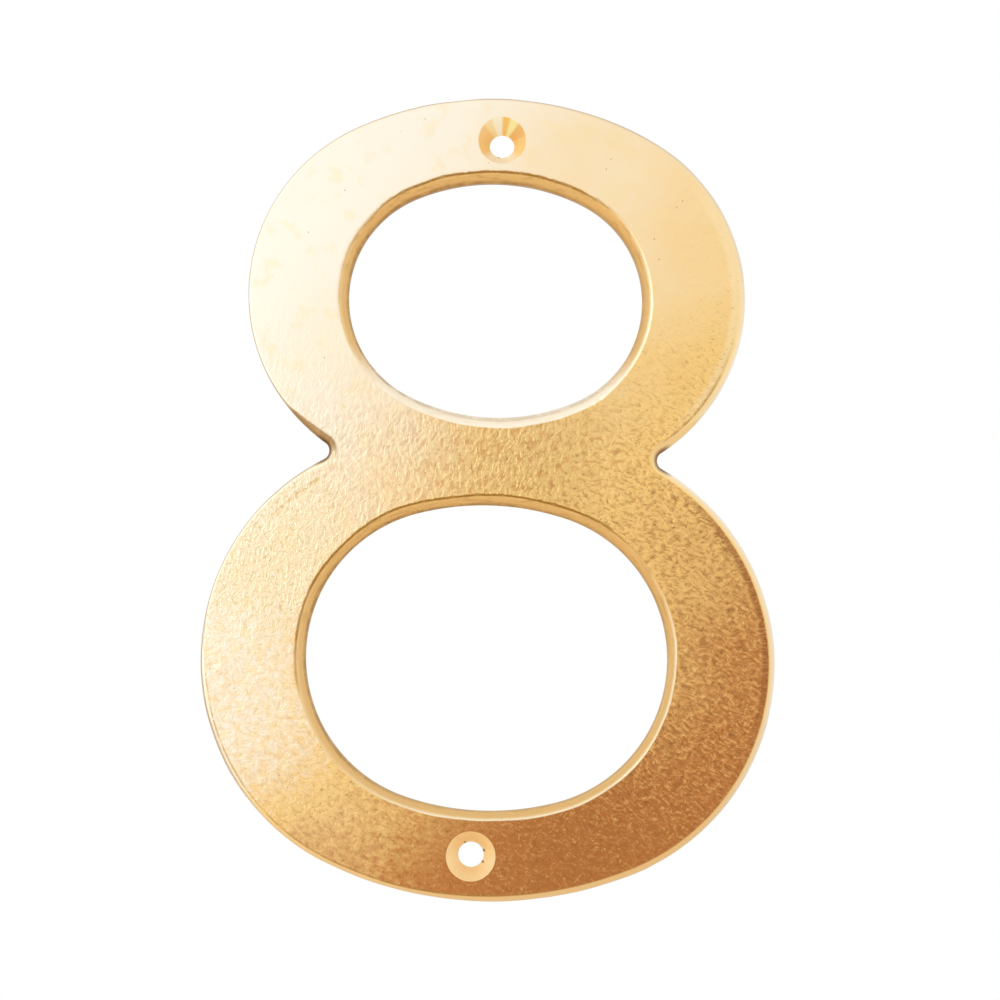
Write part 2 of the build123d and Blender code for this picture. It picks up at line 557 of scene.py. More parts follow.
def sink_cutter(sizes, holes, middle, drop, chatter):
    """Tool that cuts one screw hole: a grid of headings round the hole by rows from behind the back on.

    The lower rows are the drilled hole. Where its wall meets the cone the rows turn out along the cone,
    whose depth is the sink's radius less the distance from the sink's middle, and the flats of a chattering
    drill stand on it.
    """
    behind_back = 1.0 * MM
    past_rim = 1.5 * MM
    around = np.linspace(0, 2 * math.pi, SINK_COLUMNS, endpoint=False)
    rim = holes.sink / 2
    edge = np.array((0.0, -drop)) + holes.hole / 2 * heading(around)
    far = np.hypot(edge[:, 0], edge[:, 1])
    way = edge / far[:, None]
    bearing = np.arctan2(way[:, 1], way[:, 0])
    out = far[:, None] + (rim + past_rim - far)[:, None] * np.linspace(0, 1, SINK_ROWS)
    # The flats fan out about the top of the sink, as a zigzag of the bearing, and fade to its foot and rim
    fan = smooth(0.2, 0.9, np.sin(bearing)) * np.abs(((bearing - 0.2) * 3.1) % 2 - 1)
    flats = chatter * fan[:, None] * smooth(rim + 0.2 * MM, rim - 0.8 * MM, out)
    depth = -sizes.thickness + rim - out + flats
    cone = np.concatenate((out[..., None] * way[:, None, :], depth[..., None]), axis=-1)
    bottom = np.concatenate((edge, np.full((SINK_COLUMNS, 1), behind_back)), axis=-1)
    rows = np.concatenate((bottom[:, None], cone), axis=1)
    points = np.stack((rows[..., 0] + middle[0], rows[..., 2], rows[..., 1] + middle[1]), axis=-1)
    index = np.arange(SINK_COLUMNS * rows.shape[1]).reshape(SINK_COLUMNS, -1)
    right = np.roll(index, -1, axis=0)
    quads = np.stack((index[:, :-1], right[:, :-1], right[:, 1:], index[:, 1:]), axis=-1).reshape(-1, 4)
    caps = [index[::-1, 0].tolist(), index[:, -1].tolist()]
    return points.reshape(-1, 3), quads.tolist() + caps


def add_mesh(name, points, faces):
    """A mesh object at the origin, from an array of points and a list of faces."""
    mesh = bpy.data.meshes.new(name)
    mesh.from_pydata(points, [], faces)
    mesh.update()
    if mesh.validate():
        raise RuntimeError(name + " has faces that can't stand")
    piece = bpy.data.objects.new(name, mesh)
    bpy.context.scene.collection.objects.link(piece)
    return piece


class HOUSE_NUMBER_OT_cast_figure(Operator):
    """Cast the figure eight: two bowls, bevelled openings, a rounded outer edge and a flat back"""

    bl_idname = "house_number.cast_figure"
    bl_label = "Cast the figure"

    def execute(self, context):
        piece = add_mesh(PIECE, *casting(context.scene.house_number_figure))
        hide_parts("house_number")
        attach(piece, "root")
        return {"FINISHED"}


class HOUSE_NUMBER_OT_sink_holes(Operator):
    """Drill and countersink the two screw holes"""

    bl_idname = "house_number.sink_holes"
    bl_label = "Sink the screw holes"

    def execute(self, context):
        sizes = context.scene.house_number_figure
        holes = context.scene.house_number_holes
        piece = bpy.data.objects[PIECE]
        upper, lower = sink_middles(sizes, holes)
        for middle, drop, chatter in ((upper, holes.upper_drop, holes.chatter), (lower, 0.0, 0.0)):
            cutter = add_mesh("sink_cutter", *sink_cutter(sizes, holes, middle, drop, chatter))
            cut = piece.modifiers.new("sink", "BOOLEAN")
            cut.operation = "DIFFERENCE"
            cut.solver = "EXACT"
            cut.object = cutter
            done = bpy.data.meshes.new_from_object(piece.evaluated_get(context.evaluated_depsgraph_get()))
            piece.modifiers.remove(cut)
            before = len(piece.data.polygons)
            piece.data = done
            if len(done.polygons) == before:
                raise RuntimeError("a sink cut nothing")
            bpy.data.meshes.remove(cutter.data)
        piece.data.name = PIECE
        return {"FINISHED"}


class Nodes:
    """Short calls that add shader nodes to one tree.

    A value may be a number, a colour or another node's output. A noise's scale is its cells per unit.
    """

    def __init__(self, owner):
        """Start on the emptied tree of a material or a world."""
        owner.use_nodes = True
        self.tree = owner.node_tree
        self.tree.nodes.clear()

    def add(self, kind, inputs=(), output=0, **settings):
        node = self.tree.nodes.new(kind)
        for key, value in settings.items():
            setattr(node, key, value)
        for key, value in dict(inputs).items():
            self.put(node.inputs[key], value)
        return node.outputs[output] if node.outputs else None

    def put(self, socket, value):
        if isinstance(value, bpy.types.NodeSocket):
            self.tree.links.new(value, socket)
        elif hasattr(socket.default_value, "__len__") and len(value) == 3 and len(socket.default_value) == 4:
            socket.default_value = (*value, 1.0)
        else:
            socket.default_value = value

    def math(self, operation, first, second=0.0, clamp=False):
        return self.add("ShaderNodeMath", {0: first, 1: second}, operation=operation, use_clamp=clamp)

    def chain(self, operation, values):
        out = values[0]
        for value in values[1:]:
            out = self.math(operation, out, value)
        return out

    def times(self, *values):
        return self.chain("MULTIPLY", values)

    def plus(self, *values):
        return self.chain("ADD", values)

    def most(self, *values):
        return self.chain("MAXIMUM", values)

    def rest(self, value):
        """What a share leaves of 1."""
        return self.math("SUBTRACT", 1.0, value)

    def off(self, value, middle):
        """How far a value is from a middle, either way."""
        return self.math("ABSOLUTE", self.plus(value, -middle))

    def ramp(self, value, low, high, start=0.0, end=1.0):
        """Smooth step of a value from low to high, clamped, between start and end."""
        return self.add(
            "ShaderNodeMapRange", {"Value": value, 1: low, 2: high, 3: start, 4: end},
            interpolation_type="SMOOTHSTEP",
        )

    def window(self, value, start, full, fading, end):
        """Smooth step up from start to full, and down again from fading to end."""
        return self.times(self.ramp(value, start, full), self.ramp(value, end, fading))

    def noise(self, place, scale, detail=2.0, rough=0.5, distort=0.0, output=0):
        return self.add(
            "ShaderNodeTexNoise",
            {"Vector": place, "Scale": scale, "Detail": detail, "Roughness": rough, "Distortion": distort},
            output=output, noise_dimensions="2D",
        )

    def warp(self, place, scale, by):
        """Place pushed about by up to so much, by a noise."""
        push = self.noise(place, scale, 1.0, output=1)
        push = self.add("ShaderNodeVectorMath", {0: push, "Scale": by}, operation="SCALE")
        return self.add("ShaderNodeVectorMath", {0: place, 1: push}, operation="ADD")

    def stretch(self, place, lean, long):
        """Place turned by lean and drawn out along the turned x axis."""
        return self.add(
            "ShaderNodeMapping", {"Vector": place, "Rotation": (0.0, 0.0, lean), "Scale": (long, 1.0, 1.0)},
            vector_type="TEXTURE",
        )

    def blend(self, part, first, second):
        return self.add(
            "ShaderNodeMix", {0: part, 6: first, 7: second}, output=2, data_type="RGBA", clamp_result=True
        )

    def distance(self, place, middle):
        return self.add(
            "ShaderNodeVectorMath", {0: place, 1: (*middle, 0.0)}, output=1, operation="DISTANCE"
        )

    def blob(self, place, middle, radius, edge=1.0):
        """1 at a spot and 0 at radius from it, fading from edge, a share of the radius, inwards."""
        return self.ramp(self.distance(place, middle), radius, radius * (1 - edge))


class Surface:
    """Where a point of the casting lies, as shader values: places in millimetres, and masks from 0 to 1."""

    def __init__(self, n, sizes, holes, figure):
        place = n.add("ShaderNodeTexCoord", output="Object")
        place = n.add("ShaderNodeVectorMath", {0: place, "Scale": 1 / MM}, operation="SCALE")
        apart = n.tree.nodes.new("ShaderNodeSeparateXYZ")
        n.tree.links.new(place, apart.inputs[0])
        self.x, self.y, self.z = apart.outputs
        self.flat = n.add("ShaderNodeCombineXYZ", {"X": self.x, "Y": self.z})
        self.leaning = n.plus(self.x, n.times(self.z, -BUFF_SLOPE))
        self.inset = n.add("ShaderNodeAttribute", output="Fac", attribute_name=OUTER_INSET)
        self.bevel = n.add("ShaderNodeAttribute", output="Fac", attribute_name=BEVEL_INSET)
        self.cloud = n.plus(n.noise(self.flat, 0.07, 4.0, 0.6), -0.5)
        self.uneven = n.noise(self.flat, 0.52, 3.0, 0.6)

        # Place round the nearer opening: rise from its middle and way across it, both about 1 at its edge
        self.upper = n.math("GREATER_THAN", self.z, 0.0)
        self.rise = self.across = 0.0
        for here, hole in ((self.upper, figure.upper_opening), (n.rest(self.upper), figure.lower_opening)):
            (middle_x, middle_z), (half_width, half_height) = hole.middle / MM, hole.half / MM
            self.rise = n.plus(self.rise, n.times(n.plus(self.z, -middle_z), here, 1 / half_height))
            self.across = n.plus(self.across, n.times(n.plus(self.x, -middle_x), here, 1 / half_width))

        # The outer edge, by depth over the radius of its round, and the bevels and walls of the openings
        low_left = n.times(n.ramp(self.z, *LOW_LEFT_Z), n.ramp(self.x, *LOW_LEFT_X))
        radius = n.most(n.ramp(self.leaning, *BUFFED, 0.42, 1.25), n.times(low_left, 0.82))
        self.over_edge = n.math("DIVIDE", self.inset, radius)
        self.edge = n.ramp(self.over_edge, 1.15, 0.85)
        self.wall = n.ramp(self.bevel, 0.0, -0.2)

        # The sinks, upper one first, the face that is left, and the back
        rim = holes.sink / 2 / MM
        self.sinks = []
        for middle_x, middle_z in sink_middles(sizes, holes):
            middle = (middle_x / MM, middle_z / MM)
            out = n.distance(self.flat, middle)
            inside = n.ramp(out, rim + 0.02, rim - 0.04)
            self.sinks.append(SimpleNamespace(inside=inside, out=out, bearing=self.bearing(n, middle)))
        self.sunk = n.plus(self.sinks[0].inside, self.sinks[1].inside)
        self.face = n.math("SUBTRACT", 1.0, n.plus(self.wall, self.edge, self.sunk), clamp=True)
        self.behind = n.ramp(self.y, -0.12, -0.03)

    def bearing(self, n, middle):
        """Angle of a point round a middle."""
        return n.math("ARCTAN2", n.plus(self.z, -middle[1]), n.plus(self.x, -middle[0]))


# Spots of the tone and light slope: x, z and radius in millimetres, and how much browner, or below 0 paler,
# they are
TONE_SPOTS = (
    (-41, -58, 23, -0.58), (42, -16, 22, -0.1), (3, 0, 26, 0.3), (42, 34, 36, -0.14),
    (10, 62, 20, 0.2), (-46, -36, 17, -0.16), (-17, -74, 18, -0.18), (-30, -69, 14, 0.12),
    (34, -10, 15, 0.14), (44, -34, 14, 0.14), (-40, 22, 20, 0.16), (-45, -19, 14, 0.14),
)


def tone_and_light_slope(n, on):
    """How brown the brass is, from about -1 at the buffed upper left to 1.5 at the lower right.

    It is a slope over the face, steeper at the foot, clouded, broken at the lower left, shifted in spots.
    Besides the brass's tone it carries a painted highlight at the upper left and painted shade towards the
    lower right.
    """
    slope = n.plus(n.times(on.x, 0.81 / 50), n.times(on.z, -0.56 / 50))
    foot = n.ramp(on.z, -45, -78)
    broken = n.plus(n.noise(on.flat, 0.62, 4.0, 0.7), -0.5)
    broken = n.times(broken, n.ramp(on.z, -10, -40), n.ramp(on.x, 5, -20))
    spots = (n.times(n.blob(on.flat, (x, z), radius), shift) for x, z, radius, shift in TONE_SPOTS)
    return n.plus(slope, n.times(foot, 0.7), n.times(on.cloud, 0.45), n.times(broken, 1.5), *spots)


def leathery_grain(n, on, slant):
    """Leathery cast grain, strongest at the right of the waist.

    Veins and upright flecks at the left give way to flecks that lie across at the right and the foot.
    """
    right = n.ramp(on.leaning, 4, 26)
    left = n.rest(right)
    lying = n.most(right, n.ramp(on.z, -15, -42))
    standing = n.rest(lying)
    waist = n.times(n.ramp(n.off(on.z, -2), 22, 4), n.ramp(on.x, -44, 8, 0.12, 1.0))
    flank = n.blob(on.flat, (-42, -16), 30)
    low = n.times(n.ramp(on.z, 40, -30, 0.05, 0.95), n.ramp(on.x, -35, 20, 0.8, 1.0))

    bent = n.warp(on.flat, 0.33, 2.2)
    drift = n.warp(on.flat, 0.23, 2.0)
    veins = n.times(n.noise(n.stretch(bent, math.pi / 2, 1.7), 0.7, 1.0), 2.0)
    veins = n.ramp(n.off(veins, 1.0), 0.22, 0.0)
    upright = n.noise(n.stretch(on.flat, 1.45, 2.2), 1.3, 3.0, 0.6, 0.5)
    level = n.noise(n.stretch(drift, -0.3, 2.0), 1.45, 4.0, 0.68)
    fine = n.plus(n.times(upright, standing), n.times(level, lying))

    rough_right = n.times(right, n.ramp(on.z, 34, -6), n.ramp(on.z, -72, -48, 0.35, 1.0))
    rough_left = n.times(left, n.ramp(on.z, -18, -50), n.ramp(slant, -1.0, 0.3, 0.15, 0.45))
    rough = n.times(n.most(waist, rough_right, rough_left), on.face)
    mottle = n.ramp(n.noise(bent, 1.5, 3.0, 0.7), 0.47, 0.66)
    return SimpleNamespace(
        strength=n.most(waist, n.times(flank, 0.45), low),
        drift=drift,
        level=level,
        fine=fine,
        depth=n.plus(n.times(veins, standing, 0.5), n.times(fine, n.plus(0.9, lying))),
        # Masks for the painted shade in the grain's hollows and the painted highlight on its ridges
        hollows=n.times(n.ramp(fine, 0.54, 0.37), rough),
        ridges=n.times(n.ramp(fine, 0.53, 0.68), rough, lying, n.ramp(slant, 0.0, 0.6)),
        mottle=n.times(mottle, n.ramp(flank, 0.1, 0.6), on.face),
    )


def wear(n, on, slant, drift):
    """A fibrous rub and hairline scratches that gather towards the foot and the right, pits and stains."""
    worn = n.times(n.ramp(slant, -0.5, 0.9, 0.02, 1.0), on.face)
    rub = n.noise(n.stretch(drift, -0.6, 2.6), 1.9, 3.0, 0.7)
    cross = n.noise(n.stretch(drift, 0.75, 2.4), 1.8, 2.0, 0.65)
    rub = n.plus(n.times(rub, 0.65), n.times(cross, 0.35), -0.5)
    hair = 0.0
    for lean, scale in ((0.95, 2.0), (-0.7, 2.2)):
        hair = n.plus(hair, n.ramp(n.noise(n.stretch(drift, lean, 2.6), scale, 2.0, 0.6), 0.66, 0.8))
    speck = n.add(
        "ShaderNodeTexVoronoi", {"Vector": on.flat, "Scale": 0.26}, feature="F1", voronoi_dimensions="2D"
    )
    pit = n.times(n.ramp(speck, 0.055, 0.02), n.ramp(n.noise(on.flat, 0.15, 0.0), 0.67, 0.77), on.face)
    stain = n.plus(n.noise(on.flat, 0.2, 3.0, 0.6), n.times(n.blob(on.flat, (24, 58), 18), 0.1))
    return SimpleNamespace(
        rub=n.times(rub, worn, n.ramp(on.z, -76, -54, 0.6, 1.0)),
        hair=n.times(hair, worn),
        pit=pit,
        stain=n.times(n.ramp(stain, 0.54, 0.72), n.ramp(slant, 0.4, -0.3), on.face),
    )


def edge_marks(n, on, figure, level):
    """Marks along the outer edge, each a window of the inset, x and z.

    A ribbed brown band at the right of the lower bowl, a shoulder below the left notch, flecks below the
    right notch, a pale strip above it, and a broken line along the lip of the round.
    """
    around = n.times(on.bearing(n, figure.lower_opening.middle / MM), 130.0)
    around = n.add("ShaderNodeCombineXYZ", {"X": around, "Y": n.times(on.inset, 0.5)})
    ribs = n.ramp(n.noise(around, 1.0, 1.0), 0.3, 0.6, 0.35, 1.0)
    band_x = n.ramp(on.x, 26, 44)
    band_z = n.times(n.ramp(on.z, 2, -16), n.ramp(on.z, -58, -38, 0.25, 1.0))
    line_foot = n.times(n.ramp(on.z, -28, -52), n.ramp(on.x, 30, -10))
    line_right = n.times(n.ramp(on.x, 28, 34), n.window(on.z, 0.0, 4, 12, 26))
    line = n.times(n.window(on.over_edge, 0.95, 1.1, 1.25, 1.55), n.ramp(on.uneven, 0.3, 0.55, 0.3, 1.0))
    return SimpleNamespace(
        band=n.times(n.ramp(on.over_edge, 1.0, 1.25), n.ramp(on.inset, 2.9, 2.1), band_x, band_z, ribs),
        shoulder=n.times(
            n.window(on.inset, 2.4, 2.8, 2.95, 3.5), n.window(on.x, -44, -38, -33, -29),
            n.window(on.z, -15, -9, -2, 1), n.ramp(on.uneven, 0.35, 0.6),
        ),
        fleck=n.times(
            n.window(on.inset, 1.9, 2.5, 3.0, 4.0), n.ramp(on.x, 30, 33), n.window(on.z, -24, -12, -4, 0.0),
            n.ramp(level, 0.54, 0.4),
        ),
        strip=n.times(
            n.ramp(on.inset, 3.4, 2.2), n.ramp(on.x, 28, 38), n.window(on.z, 4, 14, 44, 58), on.face
        ),
        lip_line=n.times(line, n.most(line_foot, line_right)),
    )


# The rounded outer edge, painted from shade at its wall to light at its lip: at the left, and on the rubbed
# ridge of the right
EDGE_SHADE = (0.52, 0.39, 0.26)
EDGE_LIT = (0.90, 0.76, 0.56)
RIDGE_LIT = (0.94, 0.84, 0.68)
RIDGE_FOOT = (0.88, 0.60, 0.27)


def edge_light_and_shade(n, on, slant, bright):
    """Painted shade to pale at the left, a painted highlight on the rubbed ridge at the right, browner at the
    foot.
    """
    left = n.blend(n.ramp(on.over_edge, 0.3, 0.8), EDGE_SHADE, EDGE_LIT)
    ridge = n.blend(n.ramp(on.over_edge, 0.35, 0.75), RIDGE_LIT, bright)
    ridge = n.blend(n.ramp(on.z, -52, -70, 0.0, 0.8), ridge, RIDGE_FOOT)
    return n.blend(n.ramp(slant, -0.6, 0.5), left, ridge)


# Bevels of an opening in painted light and shade: the left, the lit right and bottom, the shaded top, backs
# and walls behind, and file streaks
BEVEL_LEFT = (0.90, 0.66, 0.34)
BEVEL_RIGHT_LIT = (1.0, 0.92, 0.70)
BEVEL_TOP_SHADED = (0.88, 0.58, 0.24)
BEVEL_BOTTOM_LIT = (1.0, 0.92, 0.76)
BEVEL_BACK_SHADED = (0.80, 0.53, 0.23)
BEVEL_BACK_TOP_SHADED = (0.80, 0.50, 0.19)
WALL_SHADE = (0.56, 0.33, 0.12)
WALL_TOP_SHADE = (0.46, 0.25, 0.07)
STREAK = (0.60, 0.36, 0.13)
STREAK_TOP_SHADED = (0.36, 0.18, 0.05)


def bevel_light_and_shade(n, on):
    """Bevels in painted light and shade: lit near the face, painted shade at the back and along the tops,
    with file streaks.
    """
    top = n.ramp(on.rise, -0.1, 0.85)
    sides = n.blend(n.ramp(n.plus(on.across, n.times(on.rise, -0.5)), -0.5, 0.3), BEVEL_LEFT, BEVEL_RIGHT_LIT)
    near = n.blend(top, sides, BEVEL_TOP_SHADED)
    tint = n.blend(n.ramp(on.y, -2.97, -2.4), near, n.blend(top, BEVEL_BACK_SHADED, BEVEL_BACK_TOP_SHADED))
    tint = n.blend(n.ramp(on.y, -1.6, -0.2), tint, n.blend(top, WALL_SHADE, WALL_TOP_SHADE))
    tint = n.blend(n.times(n.ramp(on.rise, -0.35, -0.85), on.upper), tint, BEVEL_BOTTOM_LIT)
    around = n.times(n.math("ARCTAN2", on.rise, on.across), 9.0)
    along = n.add("ShaderNodeCombineXYZ", {"X": around, "Y": n.times(on.y, 2.0)})
    strength = n.ramp(on.rise, -0.3, 0.5, 0.12, 0.32)
    streak = n.ramp(n.noise(along, 1.0, 3.0, 0.65), 0.5, 0.3, 0.0, strength)
    return n.blend(streak, tint, n.blend(top, STREAK, STREAK_TOP_SHADED))


def bevel_painted_light(n, on):
    """Painted shade and glow of the bevels: a shaded rim towards the walls, a broken shadow line and a golden
    glow where they meet the face.

    The shadow line and the glow lie on the shaded side, at the tops and the left of the openings.
    """
    rim_side = n.plus(n.times(on.rise, 0.5), n.times(on.across, -1.0))
    rim = n.times(n.ramp(on.bevel, -1.2, -1.62), n.ramp(on.uneven, 0.35, 0.6, 0.6, 1.0))
    shaded = n.ramp(n.plus(on.rise, n.times(on.across, -0.45), n.times(on.cloud, 1.2)), 0.0, 0.85)
    line = n.ramp(n.plus(on.bevel, n.times(on.uneven, 0.5)), 0.55, 0.3)
    line = n.times(n.ramp(on.bevel, -0.4, -0.15), line, n.ramp(on.uneven, 0.3, 0.5, 0.8, 1.0))
    fainter = n.times(on.upper, n.ramp(on.rise, 0.95, 0.6), 0.65)
    return SimpleNamespace(
        rim=n.times(rim, n.ramp(rim_side, -0.5, 0.9, 0.35, 0.8)),
        line=n.times(line, shaded, n.rest(fainter)),
        fade=n.times(n.ramp(on.bevel, 0.8, 0.1), shaded, on.face),
    )


# Flats of the upper sink: from one bearing to another, soft by so much, all in radians, and their tint of
# painted light and shade
SINK_FLAT_LIGHTS = (
    (-2.4, -0.75, 0.25, (0.97, 0.88, 0.74)),
    (0.26, 0.87, 0.09, (0.92, 0.58, 0.24)),
    (0.87, 1.26, 0.09, (1.0, 0.90, 0.46)),
    (1.26, 1.6, 0.09, (0.98, 0.62, 0.20)),
    (1.6, 2.1, 0.09, (1.0, 0.94, 0.76)),
    (2.1, 2.45, 0.09, (1.0, 0.84, 0.50)),
)
SINK_BRASS = (0.97, 0.70, 0.33)

# The lower sink in painted light at its sides, and in painted shade at its top and bottom
SATIN_SIDES_LIT = (0.98, 0.78, 0.48)
SATIN_ENDS_SHADED = (0.95, 0.70, 0.38)

# Burr round the lower hole: bearing and half width of each mark, in radians
LOWER_BURR = ((0.36, 0.13), (-0.48, 0.1), (2.06, 0.08))


def sink_light_and_shade(n, on):
    """Painted light and shade of the sinks: on the flats of a chattering drill in the upper one, on the satin
    lower one.
    """
    upper, lower = on.sinks
    flats = SINK_BRASS
    for start, stop, soft, tint in SINK_FLAT_LIGHTS:
        part = n.window(upper.bearing, start - soft, start + soft, stop - soft, stop + soft)
        flats = n.blend(part, flats, tint)
    ends = n.ramp(n.math("ABSOLUTE", n.math("SINE", lower.bearing)), 0.2, 0.95)
    return flats, n.blend(ends, SATIN_SIDES_LIT, SATIN_ENDS_SHADED)


def burr_marks(n, on):
    """Burr on the cones, not down the holes: three marks by the lower hole and one below the upper one."""
    upper, lower = on.sinks
    burr = 0.0
    for bearing, half in LOWER_BURR:
        burr = n.plus(burr, n.ramp(n.off(lower.bearing, bearing), half, half * 0.6))
    burr = n.times(burr, n.ramp(lower.out, 2.85, 2.6), lower.inside)
    dash = n.ramp(n.off(upper.bearing, -1.76), 0.08, 0.05)
    dash = n.times(dash, n.ramp(upper.out, 3.2, 3.0), upper.inside)
    return n.times(n.plus(burr, dash), n.ramp(on.y, -0.3, -0.7))


def notch_shade(n, on, figure):
    """Masks of painted shade in the notches, and of the lip of the upper bowl beside them."""
    notch = beside = 0.0
    for middle in (figure.right / MM, figure.left / MM):
        notch = n.most(notch, n.blob(on.flat, middle, 3.4, 0.5))
        beside = n.most(beside, n.blob(on.flat, middle, 13))
    lip = n.ramp(n.math("DIVIDE", on.inset, n.plus(0.4, n.times(beside, 1.3))), 1.2, 0.8)
    beside = n.times(n.ramp(beside, 0.0, 0.3), lip, n.ramp(on.z, -1.0, 2.5))
    return n.times(notch, n.ramp(on.inset, 1.1, 0.4)), beside


# Tints laid over the brass of the face
# Brown of the foot: its tone, deepened by painted shade
FOOT_TONE_AND_SHADE = (0.36, 0.125, 0.035)
FOOT_TAN = (0.84, 0.62, 0.34)
STAIN = (0.94, 0.76, 0.40)
MOTTLE = (0.66, 0.53, 0.24)
STRIP = (0.98, 0.80, 0.48)
WAIST_SHADE = (0.45, 0.32, 0.16)
# Painted shade in the hollows of the grain, and a painted highlight on its ridges
HOLLOW_SHADE = (0.34, 0.14, 0.042)
GRAIN_RIDGE_HIGHLIGHT = (0.94, 0.60, 0.24)
SHOULDER = (0.62, 0.40, 0.13)
FLECK = (0.40, 0.20, 0.06)
HAIRLINE = (0.98, 0.68, 0.28)
BAND = (0.34, 0.13, 0.045)

# Tints of the edges: a lip line, painted shade on the lip by the left notch and tan by the right one, and the
# bevels' painted shadow line and shaded rim
LIP_LINE = (0.42, 0.24, 0.07)
LEFT_LIP_SHADE = (0.38, 0.21, 0.065)
RIGHT_LIP = (0.92, 0.66, 0.32)
BEVEL_SHADOW_LINE = (0.36, 0.17, 0.025)
BEVEL_RIM_SHADE = (0.34, 0.19, 0.07)

# The plain cast back
BACK_LIGHT = (0.80, 0.57, 0.27)
BACK_DARK = (0.68, 0.45, 0.18)


def brass_material(finish, sizes, holes, figure):
    """Cast brass: pale and buffed at the top, leathery at the waist, toned and scratched at the foot.

    Tints are laid over each other, from the broad tone of the face, with its painted highlight at the top and
    painted shade at the foot, to painted light and shade on the edges, bevels and sinks, painted shade in the
    notches and the dark pits and burr. The back, which lies against the wall, is plain sandy casting.
    """
    material = bpy.data.materials.new("cast_brass")
    n = Nodes(material)
    on = Surface(n, sizes, holes, figure)
    # slant: the brass's tone, with a painted highlight at the upper left and painted shade towards the lower
    # right
    slant = tone_and_light_slope(n, on)
    grain = leathery_grain(n, on, slant)
    worn = wear(n, on, slant, grain.drift)
    marks = edge_marks(n, on, figure, grain.level)
    bevels = bevel_painted_light(n, on)
    flats, satin = sink_light_and_shade(n, on)
    notch, beside = notch_shade(n, on, figure)
    # Mask of the pits and burr, and of the painted shade in the notches
    dirt_and_notch_shade = n.most(n.times(notch, 0.9), n.times(worn.pit, 0.55), n.times(burr_marks(n, on), 0.8))

    # Pale to gold to toned brown along the slant: the brass's tone, its painted highlight and its painted
    # shade together
    body = n.blend(n.ramp(slant, -1.1, 0.55), finish.pale, finish.gold)
    body = n.blend(n.ramp(slant, 0.36, 1.5), body, finish.toned)
    for mask, weight, tint in (
        # The foot's brown: tone and painted shade
        (n.blob(on.flat, (18, -74), 42), 0.45, FOOT_TONE_AND_SHADE),
        (n.blob(on.flat, (-30, -66), 20), 0.35, FOOT_TAN),
        (worn.stain, 0.3, STAIN),
        (grain.mottle, 0.55, MOTTLE),
        (marks.strip, 0.6, STRIP),
        (n.blob(on.flat, (6, 1), 30), 0.3, WAIST_SHADE),
        # Painted shade in the grain's hollows and a painted highlight on its ridges
        (grain.hollows, 0.5, n.blend(n.ramp(slant, 0.2, 1.0), finish.toned, HOLLOW_SHADE)),
        (grain.ridges, 0.42, GRAIN_RIDGE_HIGHLIGHT),
        (marks.shoulder, 0.65, SHOULDER),
        (marks.fleck, 0.6, FLECK),
        (worn.hair, 0.4, HAIRLINE),
        (n.ramp(worn.rub, 0.02, 0.18), 0.55, finish.gold),
        (n.ramp(worn.rub, -0.02, -0.18), 0.55, finish.crease),
        (marks.band, 0.85, BAND),
        (on.wall, 1.0, bevel_light_and_shade(n, on)),
        (on.edge, 0.85, edge_light_and_shade(n, on, slant, finish.bright)),
        (marks.lip_line, 0.6, LIP_LINE),
        # The lip beside the notches: painted shade at the left, tan at the right
        (beside, 0.9, n.blend(n.ramp(on.x, -10, 10), LEFT_LIP_SHADE, RIGHT_LIP)),
        # The sinks in painted light and shade
        (on.sinks[0].inside, 1.0, flats),
        (on.sinks[1].inside, 1.0, satin),
        # Painted on the bevels: a golden glow on the face, a shadow line at their edge and shade at their rim
        (bevels.fade, 0.3, finish.gold),
        (bevels.line, 0.95, BEVEL_SHADOW_LINE),
        (bevels.rim, 0.9, BEVEL_RIM_SHADE),
        # Crease colour over the pits, the burr and the painted shade of the notches
        (n.math("MINIMUM", dirt_and_notch_shade, 0.9), 1.0, finish.crease),
        (on.behind, 1.0, n.blend(n.ramp(on.cloud, -0.35, 0.35), BACK_LIGHT, BACK_DARK)),
    ):
        body = n.blend(n.times(mask, weight), body, tint)

    front = n.rest(on.behind)
    rougher = n.plus(
        n.times(grain.strength, on.face, 0.03), n.times(on.sunk, 0.1), n.times(on.wall, 0.05),
        n.times(dirt_and_notch_shade, 0.3),
    )
    rough = n.plus(finish.gloss, n.times(on.cloud, 0.12), n.times(on.behind, 0.2), n.times(front, rougher))

    # Depths in millimetres: grain, rub, scratches, mottle, pits and the turning rings of the sinks
    grain_depth = finish.grain / MM
    ring_step = 0.42
    waves = 2 * math.pi / ring_step
    rings = n.plus(*(n.times(sink.inside, n.math("SINE", n.times(sink.out, waves))) for sink in on.sinks))
    depth = n.plus(
        n.times(grain.depth, grain.strength, on.face, grain_depth),
        n.times(grain.fine, n.plus(n.times(on.wall, 0.5), n.times(on.face, 0.1)), grain_depth),
        n.times(worn.rub, 0.14),
        n.times(worn.hair, 0.012),
        n.times(grain.mottle, -0.025),
        n.times(worn.pit, -0.03),
        n.times(rings, 0.004),
    )
    sand = n.noise(on.flat, 1.5, 3.0, 0.6)
    depth = n.plus(n.times(depth, front), n.times(sand, on.behind, 0.05))
    bump = n.add("ShaderNodeBump", {"Height": n.times(depth, MM), "Strength": 1.0, "Distance": 1.0})
    shader = n.add(
        "ShaderNodeBsdfPrincipled", {"Base Color": body, "Metallic": 1.0, "Roughness": rough, "Normal": bump}
    )
    n.add("ShaderNodeOutputMaterial", {"Surface": shader})
    return material


